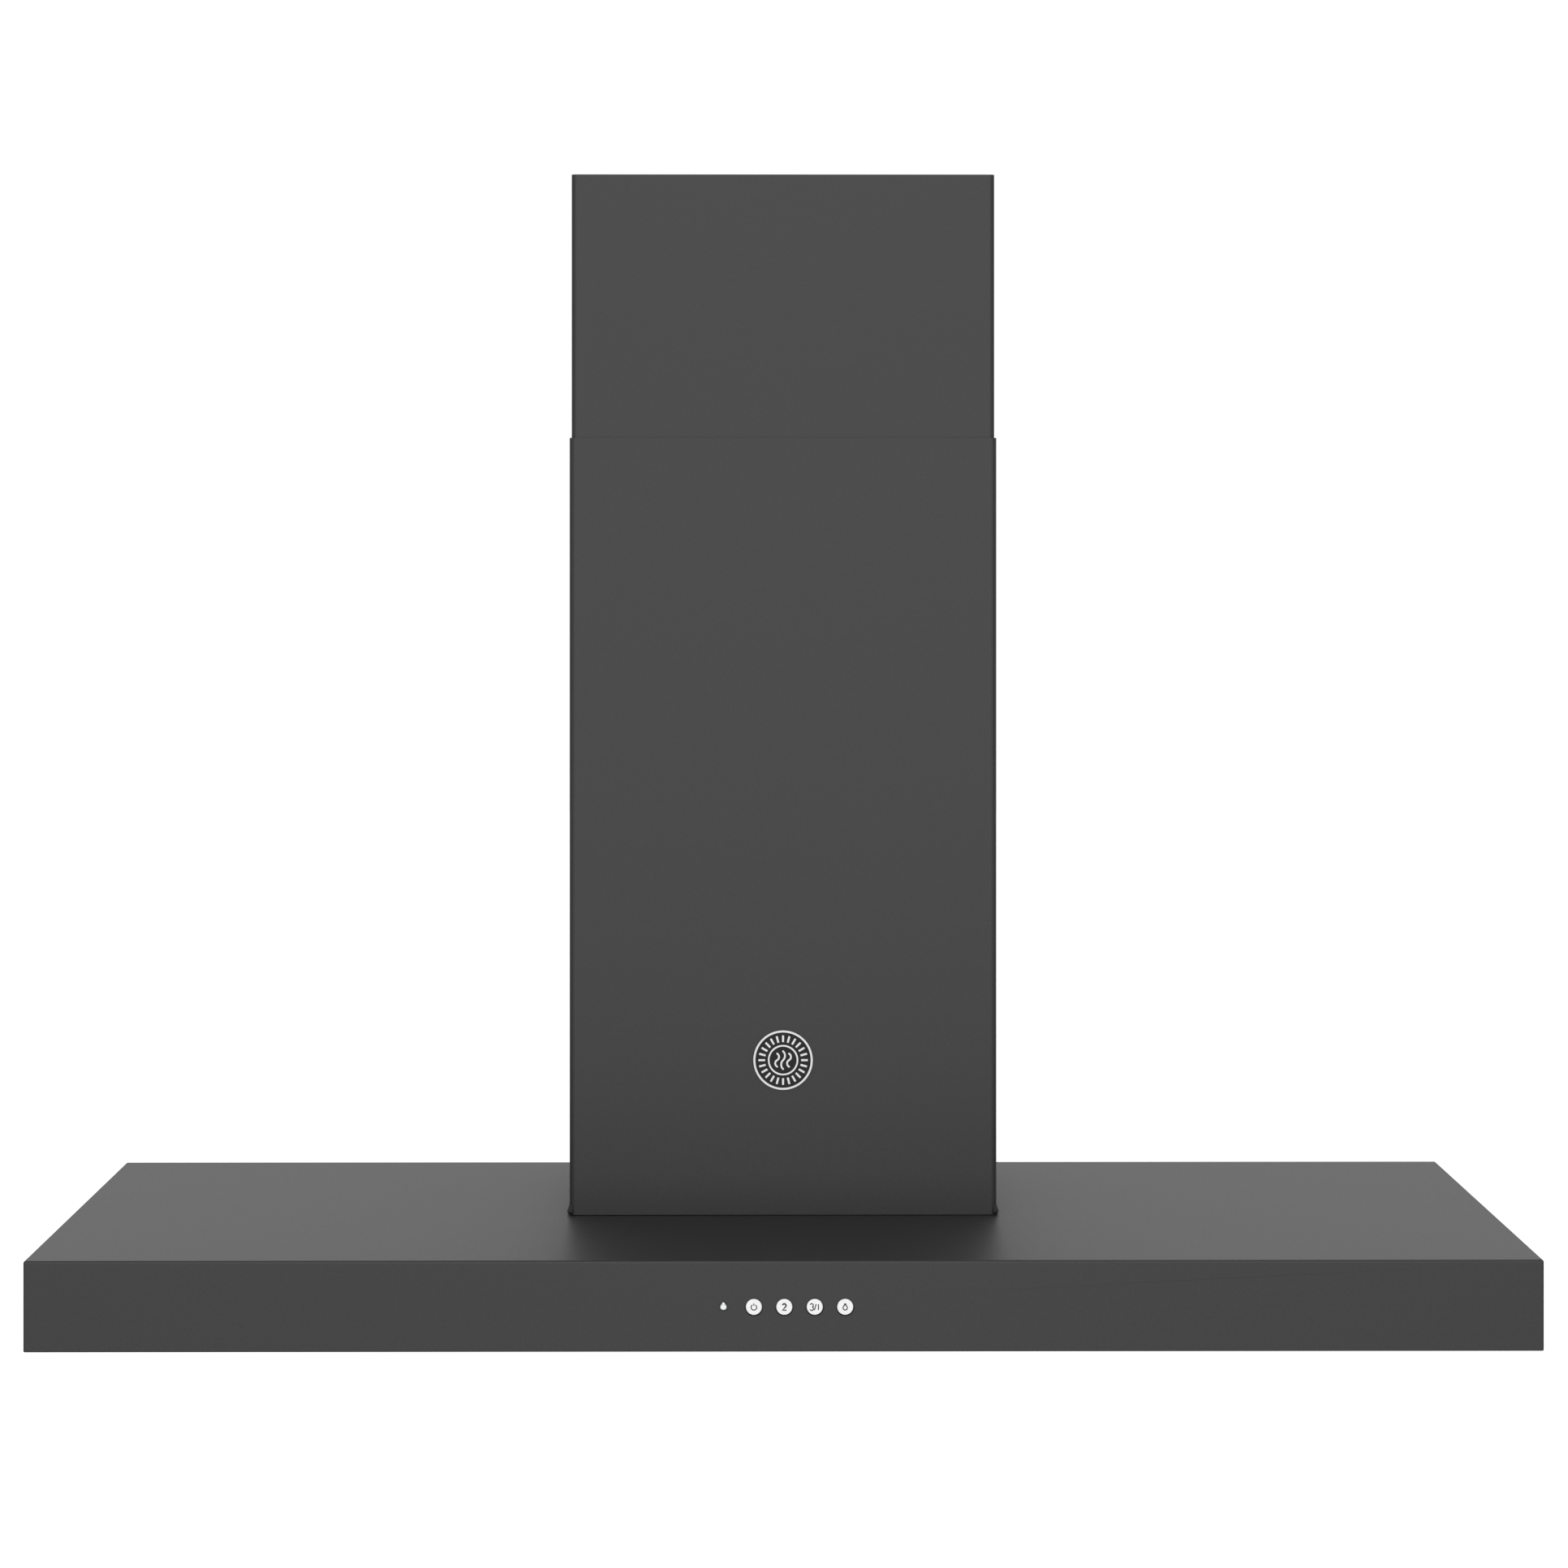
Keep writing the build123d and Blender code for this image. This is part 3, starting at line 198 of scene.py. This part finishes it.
def button_plastic_and_gap_shade(front_y):
    """Glossy white cap whose sides, from just behind its face, are painted black as shade for the gap
    round it.
    """
    cap = Shader("button_plastic_and_gap_shade", Coat_Weight=0.6, Coat_Roughness=0.06)
    haze = cap.noise(260, 2)
    parts = cap.nodes.new("ShaderNodeSeparateXYZ")
    cap.links.new(cap.position, parts.inputs["Vector"])
    # painted shade: from just behind the face the cap turns black, standing in for the shade in the
    # gap between cap and hole
    start = front_y + GAP_SHADE_START
    gap_shade = cap.spread(parts.outputs["Y"], 0.0, 1.0, start, start + 0.1 * MM)
    face = cap.ramp(haze, grey(0.94), grey(0.98))
    body = cap.ramp(haze, grey(0.015), grey(0.02))
    cap.feed("Base Color", cap.mix(gap_shade, face, body))
    cap.feed("Roughness", cap.spread(haze, 0.2, 0.28))
    cap.feed("Normal", cap.bump(haze, 0.04, 0.00005))
    return cap.material


def legend_ink():
    """Pad-printed dark grey."""
    ink = Shader("legend_ink")
    speck = ink.noise(2500, 2)
    ink.feed("Base Color", ink.ramp(speck, grey(0.02), grey(0.035)))
    ink.feed("Roughness", ink.spread(speck, 0.55, 0.7))
    return ink.material


def seal_rubber():
    """Matte black rubber with a dusty bloom."""
    rubber = Shader("seal_rubber")
    bloom = rubber.noise(300, 4)
    rubber.feed("Base Color", rubber.ramp(bloom, grey(0.012), grey(0.022)))
    rubber.feed("Roughness", rubber.spread(bloom, 0.66, 0.82))
    rubber.feed("Normal", rubber.bump(rubber.noise(1800, 2), 0.25, 0.00006))
    return rubber.material


def circuit_board():
    """Green solder mask over a faint pattern of tracks."""
    board = Shader("circuit_board", Coat_Weight=0.3, Coat_Roughness=0.2)
    tracks = board.nodes.new("ShaderNodeTexBrick")
    tracks.inputs["Scale"].default_value = 160
    tracks.inputs["Color1"].default_value = (0.012, 0.09, 0.035, 1)
    tracks.inputs["Color2"].default_value = (0.016, 0.11, 0.045, 1)
    tracks.inputs["Mortar"].default_value = (0.03, 0.16, 0.07, 1)
    board.links.new(board.position, tracks.inputs["Vector"])
    board.feed("Base Color", tracks.outputs["Color"])
    board.feed("Roughness", board.spread(board.noise(200), 0.3, 0.42))
    return board.material


def lamp_board(face_z):
    """Cast heat sink whose lower face carries a white board with rows of yellow diodes."""
    metal = Shader("lamp_board")
    parts = metal.nodes.new("ShaderNodeSeparateXYZ")
    metal.links.new(metal.position, parts.inputs["Vector"])
    cast = metal.spread(parts.outputs["Z"], 0.0, 1.0, face_z + 0.1 * MM, face_z + 0.2 * MM)
    cells = metal.nodes.new("ShaderNodeTexVoronoi")
    cells.inputs["Scale"].default_value = 130
    cells.inputs["Randomness"].default_value = 0.0
    metal.links.new(metal.position, cells.inputs["Vector"])
    diodes = metal.ramp(cells.outputs["Distance"], (0.85, 0.62, 0.12), (0.86, 0.86, 0.84), 0.24, 0.27)
    grit = metal.ramp(metal.noise(900, 4), grey(0.5), grey(0.62))
    metal.feed("Base Color", metal.mix(cast, diodes, grit))
    metal.feed("Metallic", cast)
    metal.feed("Roughness", metal.spread(metal.noise(500, 3), 0.4, 0.55))
    return metal.material


def frosted_lens(name, centre):
    """Frosted lamp cover with concentric prism rings round its centre."""
    lens = Shader(name, IOR=1.49, Transmission_Weight=0.4)
    shift = lens.nodes.new("ShaderNodeVectorMath")
    shift.operation = "SUBTRACT"
    shift.inputs[1].default_value = centre
    lens.links.new(lens.position, shift.inputs[0])
    rings = lens.nodes.new("ShaderNodeTexWave")
    rings.wave_type = "RINGS"
    rings.rings_direction = "Z"
    rings.inputs["Scale"].default_value = 130
    lens.links.new(shift.outputs["Vector"], rings.inputs["Vector"])
    lens.feed("Base Color", lens.ramp(rings.outputs["Fac"], grey(0.84), grey(0.95)))
    lens.feed("Roughness", lens.spread(lens.noise(800), 0.28, 0.4))
    lens.feed("Normal", lens.bump(rings.outputs["Fac"], 0.5, 0.0004))
    return lens.material


def indicator_dome():
    """Milky diode."""
    dome = Shader("indicator_dome", IOR=1.5, Emission_Strength=0.12)
    dome.principled.inputs["Emission Color"].default_value = (1, 1, 1, 1)
    milk = dome.noise(600, 2)
    dome.feed("Base Color", dome.ramp(milk, grey(0.75, 0.01), grey(0.88, 0.01)))
    dome.feed("Roughness", dome.spread(milk, 0.12, 0.2))
    return dome.material


def badge_enamel(front_y):
    """Badge: the raised rims, bars and lines are light, the ground between them is black."""
    enamel = Shader("badge_enamel", Specular_IOR_Level=0.25)
    parts = enamel.nodes.new("ShaderNodeSeparateXYZ")
    enamel.links.new(enamel.position, parts.inputs["Vector"])
    raised = enamel.spread(parts.outputs["Y"], 1.0, 0.0, front_y + 0.1 * MM, front_y + 0.35 * MM)
    wear = enamel.noise(900, 3)
    tone = enamel.nodes.new("ShaderNodeMath")
    tone.operation = "MULTIPLY"
    enamel.links.new(raised, tone.inputs[0])
    enamel.links.new(enamel.spread(wear, 0.9, 1.0), tone.inputs[1])
    enamel.feed("Base Color", enamel.ramp(tone.outputs["Value"], grey(0.012), grey(0.93), 0.0, 1.0))
    enamel.feed("Roughness", enamel.spread(wear, 0.42, 0.5))
    return enamel.material


# --- Meshes --------------------------------------------------------------------------------------
def link(name, mesh, material, body):
    """Makes a mesh a piece with one material that rides on a body."""
    mesh.materials.clear()
    mesh.materials.append(material)
    piece = bpy.data.objects.new(name, mesh)
    bpy.context.scene.collection.objects.link(piece)
    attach(piece, body)
    return piece


def arc(centre, radius, start, end, steps=18):
    """Points of an arc in a plane, degrees counted from the right."""
    turns = [math.radians(start + (end - start) * k / steps) for k in range(steps + 1)]
    return [(centre[0] + radius * math.cos(t), centre[1] + radius * math.sin(t)) for t in turns]


def strokes(name, paths, radius):
    """A mesh of round strokes along flat paths; each path is (points, closed), in the XZ plane."""
    curve = bpy.data.curves.new(name, "CURVE")
    curve.dimensions = "3D"
    curve.bevel_depth = radius
    curve.bevel_resolution = 2
    curve.use_fill_caps = True
    for points, closed in paths:
        spline = curve.splines.new("POLY")
        spline.points.add(len(points) - 1)
        for point, (x, z) in zip(spline.points, points):
            point.co = (x, 0, z, 1)
        spline.use_cyclic_u = closed
    carrier = bpy.data.objects.new(name, curve)
    mesh = bpy.data.meshes.new_from_object(carrier)
    bpy.data.objects.remove(carrier)
    bpy.data.curves.remove(curve)
    return mesh


def figure_two(x, height):
    """A figure 2 about x."""
    r = height * 0.27
    bowl = arc((x, height * 0.23), r, 170, -40)
    return [(bowl + [(x - r, -height / 2), (x + r * 1.15, -height / 2)], False)]


def figure_three(x, height):
    """A figure 3 about x."""
    r = height * 0.25
    upper = arc((x, height * 0.25), r, 160, -75)
    lower = arc((x, -height * 0.25), r * 1.08, 75, -160)
    return [(upper + lower, False)]


def power_mark():
    """An open ring with a short bar in its gap."""
    return [(arc((0, -0.2), 2.2, 122, 418, 36), False), ([(0, 1.1), (0, 2.7)], False)]


def boost_mark():
    """A figure 3, a slash and a plain bar, for the third and the boost speed."""
    slash = [(-0.3, -2.5), (1.1, 2.3)]
    bar = [(2.9, -2.4), (2.9, 2.2)]
    return figure_three(-2.4, 5.2) + [(slash, False), (bar, False)]


def lamp_mark():
    """A hanging bulb: round glass whose shoulders run up to a ribbed socket."""
    glass = arc((0, -0.7), 1.7, 140, 400, 30)
    socket = [(-0.6, 1.5), (-0.6, 2.5), (0.6, 2.5), (0.6, 1.5)]
    rib = [(-0.6, 2.0), (0.6, 2.0)]
    return [([(-0.6, 1.5)] + glass + [(0.6, 1.5)], False), (socket, True), (rib, False)]


def add_legends(ink):
    """Printed legends on the caps, hardly proud of them; outlines are in millimetres."""
    marks = {
        "power": (power_mark(), THIN_STROKE),
        "speed_2": (figure_two(0, 5.0), BOLD_STROKE),
        "speed_3": (boost_mark(), THIN_STROKE),
        "light": (lamp_mark(), THIN_STROKE),
    }
    for name, (paths, stroke) in marks.items():
        low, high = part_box(f"button_{name}")
        centre = Vector(((low.x + high.x) / 2, low.y, (low.z + high.z) / 2))
        mesh = strokes(f"legend_{name}", paths, stroke)
        flat = Matrix.Diagonal((MM, LEGEND_RELIEF * MM, MM, 1))
        mesh.transform(Matrix.Translation(centre) @ flat)
        piece = link(f"legend_{name}", mesh, ink, f"button_{name}")


def sweep_angles(start, end, steps):
    """Evenly spaced angles from start to end."""
    return [start + (end - start) * k / steps for k in range(steps + 1)]


def bell_profile(radius, knob, steps=14):
    """Half outline of a bell: a round knob, a narrow neck and a flattened dome."""
    height = radius * GUIDE_HEIGHT
    dome = [(radius * math.sin(t), height * math.cos(t)) for t in sweep_angles(0.25, math.pi, steps)]
    top = dome[0][1] + knob * 0.85
    turns = sweep_angles(0, math.pi * 0.85, steps)
    cap = [(knob * math.sin(t), top + knob * math.cos(t)) for t in turns]
    return cap + dome


def add_indicator_cap(material):
    """Bell-shaped light guide over the indicator's diode, flattened against the front."""
    low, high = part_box("indicator_led")
    centre = Vector(((low.x + high.x) / 2, low.y, (low.z + high.z) / 2))
    bm = bmesh.new()
    rings = []
    for radius, height in bell_profile(GUIDE_RADIUS, GUIDE_KNOB):
        ring = []
        for k in range(GUIDE_TURNS):
            turn = 2 * math.pi * k / GUIDE_TURNS
            across, deep = radius * math.cos(turn), GUIDE_DEPTH * radius * math.sin(turn)
            ring.append(bm.verts.new((across, deep, height)))
        rings.append(ring)
    for upper, lower in zip(rings, rings[1:]):
        for k in range(GUIDE_TURNS):
            after = (k + 1) % GUIDE_TURNS
            bm.faces.new((upper[k], upper[after], lower[after], lower[k]))
    bmesh.ops.remove_doubles(bm, verts=bm.verts, dist=0.001)
    bmesh.ops.recalc_face_normals(bm, faces=bm.faces)
    mesh = bpy.data.meshes.new("indicator_cap")
    bm.to_mesh(mesh)
    bm.free()
    mesh.transform(Matrix.Translation(centre) @ Matrix.Diagonal((MM, MM, MM, 1)))
    for face in mesh.polygons:
        face.use_smooth = True
    piece = link("indicator_cap", mesh, material, "hood")


# --- Carried-over CAD nodes ----------------------------------------------------------------------
def finish_nodes(frame):
    """Gives every CAD node its material."""
    black = satin_black_paint()
    along_x = brushed_steel("brushed_steel_x", (5, 420, 420))
    along_y = brushed_steel("brushed_steel_y", (420, 5, 420))
    small_steel = brushed_steel("turned_steel", (500, 500, 500), 0.6, (0.2, 0.3))
    zinc = galvanised_sheet()
    cast = cast_aluminium()
    plastic = moulded_plastic("moulded_black", 0.03)
    dark_grey = moulded_plastic("moulded_grey", 0.09, 0.45)
    rubber = seal_rubber()
    white = button_plastic_and_gap_shade(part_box("button_power")[0].y)
    looks = {
        "canopy_shell": black,
        "chimney_lower": black,
        "chimney_upper": black,
        "chimney_screws": black,
        "ceiling_bracket_screws": black,
        "underside_panel": along_x,
        "panel_screws": small_steel,
        "motor_shaft": small_steel,
        "damper_spindle": small_steel,
        "side_stiffeners": zinc,
        "blower_box": zinc,
        "outlet_collar": zinc,
        "damper_flap_front": zinc,
        "damper_flap_rear": zinc,
        "ceiling_bracket": zinc,
        "wall_hooks": zinc,
        "motor_bracket": zinc,
        "blower_screws": small_steel,
        "lamp_housings": lamp_board(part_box("lamp_housings")[0].z),
        "capacitor": cast,
        "motor_body": cast,
        "indicator_led": indicator_dome(),
        "indicator_bezel": plastic,
        "control_bracket": plastic,
        "led_driver": dark_grey,
        "scroll_left": dark_grey,
        "scroll_right": dark_grey,
        "impeller": plastic,
        "junction_box": plastic,
        "junction_box_lid": plastic,
        "cable_gland": plastic,
        "control_board": circuit_board(),
        "chimney_foot_seals": rubber,
        "control_cable": rubber,
        "lamp_cable": rubber,
        "badge": badge_enamel(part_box("badge")[0].y),
    }
    for k in LAMPS:
        low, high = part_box(f"lamp_lens_{k}")
        looks[f"lamp_bezel_{k}"] = small_steel
        looks[f"lamp_lens_{k}"] = frosted_lens(f"frosted_lens_{k}", (low + high) / 2)
    wire = spring_wire()
    for side in FILTERS:
        looks[f"filter_frame_{side}"] = along_x
        looks[f"filter_baffles_{side}"] = along_y
        looks[f"latch_slider_{side}"] = plastic
        looks[f"latch_springs_{side}"] = wire
    for name in BUTTONS:
        looks[f"button_{name}"] = white
    for name, node in frame["nodes"].items():
        node.data.materials.clear()
        node.data.materials.append(looks[name])


def compress_springs(frame):
    """Gives each latch spring its own copy of its mesh."""
    for side in FILTERS:
        name = f"latch_springs_{side}"
        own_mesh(frame["nodes"][name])


# --- Stage ---------------------------------------------------------------------------------------
FLOOR_Z = -3.6  # far enough below that the floor never hides the underside
SURROUND = (  # strength of the white surround towards each side: axis, direction, strength
    ("Y", -1, 0.60),
    ("Y", 1, 0.81),
    ("X", -1, 0.32),
    ("X", 1, 0.32),
    ("Z", 1, 0.36),
    ("Z", -1, 0.24),
)
LOBE_START, LOBE_END = 0.1, 0.95  # cosines between which a side's lobe fades in
STRIPS = (  # strip lights behind the camera: name, place, power
    ("strip_low", (0, -4.6, 0.2), 25),
    ("strip_middle", (0, -4.6, 1.3), 8),
    ("strip_high", (0, -4.0, 2.6), 36),
)
STRIP_SIZE = (4.0, 1.6)
STRIP_TARGET = (0, 0, 0.4)
BACKDROP = 1.05  # brightness of the white that the camera sees behind the hood
FLOOR_RADIUS = 60
CAMERA_PLACE = (-0.01564, -3.5903, 0.63173)
CAMERA_TURN = -0.2854  # degrees about the vertical
CAMERA_LENS = 89.96
CAMERA_SHIFT = -0.14866


def add_floor():
    """Plain pale floor, a backdrop for the camera that throws no light of its own on the hood."""
    pale = Shader("floor", Roughness=0.9, Emission_Strength=0.6)
    pale.principled.inputs["Specular IOR Level"].default_value = 0.1
    pale.principled.inputs["Emission Color"].default_value = (1, 1, 1, 1)
    pale.feed("Base Color", pale.ramp(pale.noise(2), grey(0.9), grey(0.92)))
    bpy.ops.mesh.primitive_circle_add(
        vertices=96, radius=FLOOR_RADIUS, fill_type="NGON", location=(0, 0, FLOOR_Z)
    )
    floor = bpy.context.object
    floor.name = "floor"
    floor.data.materials.append(pale.material)
    floor.visible_diffuse = False
    floor.visible_glossy = False
    floor.visible_transmission = False


def add_world():
    """Studio surround: a soft white lobe towards each side, and a white backdrop for the camera."""
    world = bpy.data.worlds.new("studio")
    bpy.context.scene.world = world
    world.use_nodes = True
    nodes, links = world.node_tree.nodes, world.node_tree.links
    direction = nodes.new("ShaderNodeTexCoord")
    parts = nodes.new("ShaderNodeSeparateXYZ")
    links.new(direction.outputs["Generated"], parts.inputs["Vector"])
    total = None
    for axis, side, strength in SURROUND:
        lobe = nodes.new("ShaderNodeMapRange")
        lobe.interpolation_type = "SMOOTHSTEP"
        lobe.inputs["From Min"].default_value = LOBE_START * side
        lobe.inputs["From Max"].default_value = LOBE_END * side
        lobe.inputs["To Min"].default_value = 0.0
        lobe.inputs["To Max"].default_value = strength
        links.new(parts.outputs[axis], lobe.inputs["Value"])
        if total is None:
            total = lobe.outputs["Result"]
            continue
        both = nodes.new("ShaderNodeMath")
        links.new(total, both.inputs[0])
        links.new(lobe.outputs["Result"], both.inputs[1])
        total = both.outputs["Value"]
    surround = nodes["Background"]
    surround.inputs["Color"].default_value = (1, 1, 1, 1)
    links.new(total, surround.inputs["Strength"])
    backdrop = nodes.new("ShaderNodeBackground")
    backdrop.inputs["Color"].default_value = (1, 1, 1, 1)
    backdrop.inputs["Strength"].default_value = BACKDROP
    path = nodes.new("ShaderNodeLightPath")
    mix = nodes.new("ShaderNodeMixShader")
    links.new(path.outputs["Is Camera Ray"], mix.inputs["Fac"])
    links.new(surround.outputs["Background"], mix.inputs[1])
    links.new(backdrop.outputs["Background"], mix.inputs[2])
    links.new(mix.outputs["Shader"], nodes["World Output"].inputs["Surface"])


def add_strips():
    """Soft strip lights in front of the hood, aimed at its lower half."""
    target = Vector(STRIP_TARGET)
    for name, place, power in STRIPS:
        data = bpy.data.lights.new(name, "AREA")
        data.shape = "RECTANGLE"
        data.size, data.size_y = STRIP_SIZE
        data.energy = power
        light = bpy.data.objects.new(name, data)
        light.location = place
        light.rotation_euler = (target - Vector(place)).to_track_quat("-Z", "Y").to_euler()
        bpy.context.scene.collection.objects.link(light)


def add_camera():
    """Level camera a little above the canopy, shifted down to frame the whole hood."""
    data = bpy.data.cameras.new("camera")
    data.lens = CAMERA_LENS
    data.sensor_width = 36
    data.shift_y = CAMERA_SHIFT
    data.clip_end = 200
    camera = bpy.data.objects.new("camera", data)
    camera.location = CAMERA_PLACE
    camera.rotation_euler = (math.radians(90), 0, math.radians(CAMERA_TURN))
    bpy.context.scene.collection.objects.link(camera)
    bpy.context.scene.camera = camera


# --- Scene ---------------------------------------------------------------------------------------
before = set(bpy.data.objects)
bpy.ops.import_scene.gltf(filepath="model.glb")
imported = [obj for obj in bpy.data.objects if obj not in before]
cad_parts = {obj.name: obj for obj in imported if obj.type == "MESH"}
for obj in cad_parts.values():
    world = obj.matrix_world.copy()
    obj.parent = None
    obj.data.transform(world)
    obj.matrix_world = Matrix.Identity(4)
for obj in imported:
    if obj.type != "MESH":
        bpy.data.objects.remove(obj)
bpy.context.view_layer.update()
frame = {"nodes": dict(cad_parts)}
add_camera()
add_world()
add_floor()
add_strips()
scene = bpy.context.scene
scene.view_settings.view_transform = "Standard"
finish_nodes(frame)
add_legends(legend_ink())
add_indicator_cap(indicator_dome())
compress_springs(frame)
